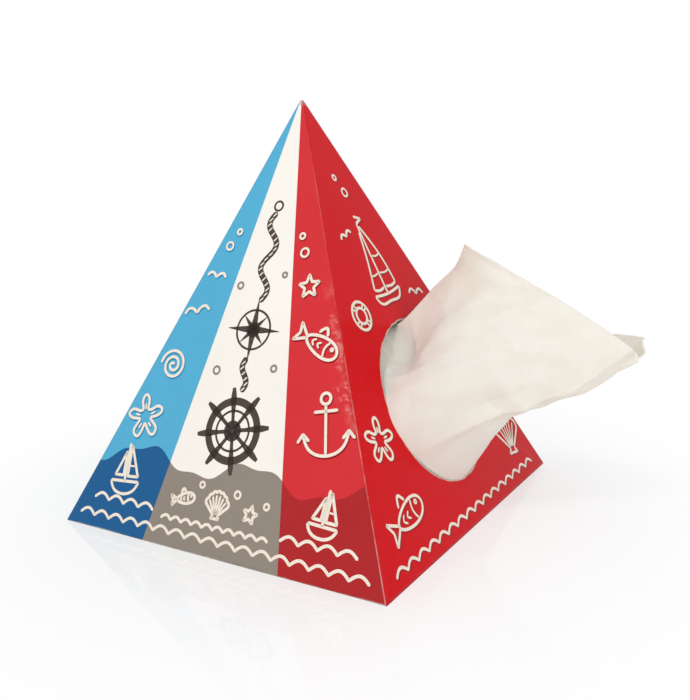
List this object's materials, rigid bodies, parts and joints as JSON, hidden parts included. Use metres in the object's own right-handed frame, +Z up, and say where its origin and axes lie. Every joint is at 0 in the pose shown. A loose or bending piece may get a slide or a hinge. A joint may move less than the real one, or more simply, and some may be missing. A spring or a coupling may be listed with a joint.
{
  "type": "tissue box",
  "caption": "Pyramid-shaped printed card tissue box with a round opening in one side panel, a stack of folded tissues inside and a tissue drawn out through the opening",
  "frame": {"origin": "middle of the underside of the base panel", "axes": "+Z up towards the tip, +X out through the panel with the round opening, -Y out of the panel hinged to the base"},
  "size_m": [0.2057, 0.1497, 0.1638],
  "materials": {
    "printed_card": "gloss varnished print on white-lined board",
    "stacked_tissue": "matt soft two-ply tissue",
    "drawn_tissue": "matt soft two-ply tissue"
  },
  "bodies": {
    "root": {"carton": "printed_card", "tissue_stack": "stacked_tissue", "pulled_tissue": "drawn_tissue"}
  },
  "joints": []
}
